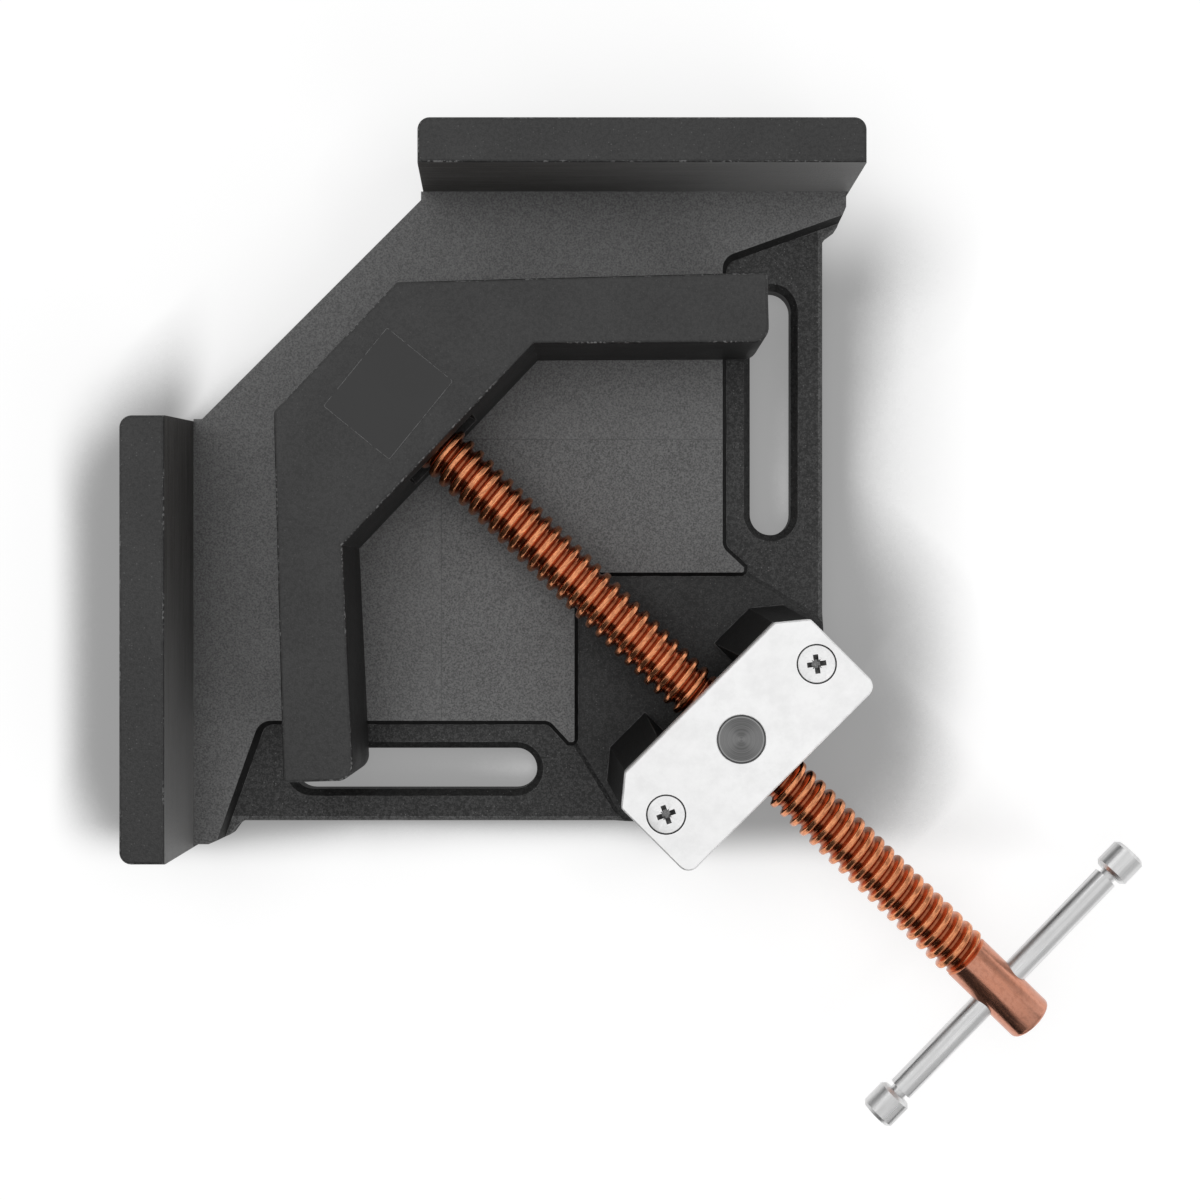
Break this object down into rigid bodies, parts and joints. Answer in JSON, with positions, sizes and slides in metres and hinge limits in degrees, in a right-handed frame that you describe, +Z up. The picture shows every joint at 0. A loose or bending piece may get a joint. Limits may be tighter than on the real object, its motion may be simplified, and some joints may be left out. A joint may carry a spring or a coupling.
{
  "type": "corner clamp",
  "caption": "Cast corner clamp: two fixed jaws at a right angle on a slotted base, and a V-shaped moving jaw driven by a swivelling screw spindle with a sliding bar.",
  "frame": {"origin": "the corner where the planes of the two fixed jaw faces meet, at the level of the base's underside", "axes": "+Z up from the underside; +X along the top fixed jaw's face away from the corner; -Y along the left fixed jaw's face away from the corner"},
  "size_m": [0.2966, 0.2924, 0.047],
  "materials": {
    "coated_casting": "black powder coat over cast iron, fine orange peel",
    "coated_jaw": "black powder coat over cast iron, light wear on the edges",
    "zinc_plate": "bright zinc plated steel, matt",
    "zinc_screws": "bright zinc plated steel",
    "turned_steel": "turned and blackened steel",
    "copper_plate": "copper plated steel, satin",
    "bright_steel": "bright zinc plated steel"
  },
  "bodies": {
    "base": {"base_casting": "coated_casting", "bridge_plate": "zinc_plate", "bridge_screws": "zinc_screws"},
    "nut": {"swivel_nut": "turned_steel"},
    "barrel": {"swivel_barrel": "turned_steel", "barrel_pins": "turned_steel"},
    "jaw": {"moving_jaw": "coated_jaw"},
    "spindle": {"spindle": "copper_plate"},
    "bar": {"tommy_bar": "bright_steel", "bar_knob_left": "bright_steel", "bar_knob_right": "bright_steel"}
  },
  "joints": [
    {"name": "nut_swivel", "type": "hinge", "parent": "base", "child": "nut", "pos_m": [0.16425, -0.16425, 0.029], "axis": [0, 0, 1], "range_deg": [-13.4, 11.6]},
    {"name": "spindle_feed", "type": "slide", "parent": "nut", "child": "barrel", "axis": [-0.7181, 0.6959, 0], "range_m": [-0.09, 0.012]},
    {"name": "spindle_turn", "type": "hinge", "parent": "barrel", "child": "spindle", "pos_m": [0.06601, -0.06905, 0.029], "axis": [-0.7181, 0.6959, 0], "range_deg": [-8100, 1080]},
    {"name": "jaw_swivel", "type": "hinge", "parent": "barrel", "child": "jaw", "pos_m": [0.06601, -0.06905, 0.029], "axis": [0, 0, 1], "range_deg": [-11.6, 13.4]},
    {"name": "bar_slide", "type": "slide", "parent": "spindle", "child": "bar", "axis": [-0.6959, -0.7181, 0], "range_m": [-0.035, 0.039]}
  ],
  "couplings": [
    {"joint": "spindle_turn", "follows": "spindle_feed", "rad_per_m": 1570.8},
    {"joint": "jaw_swivel", "follows": "nut_swivel", "ratio": -1}
  ]
}
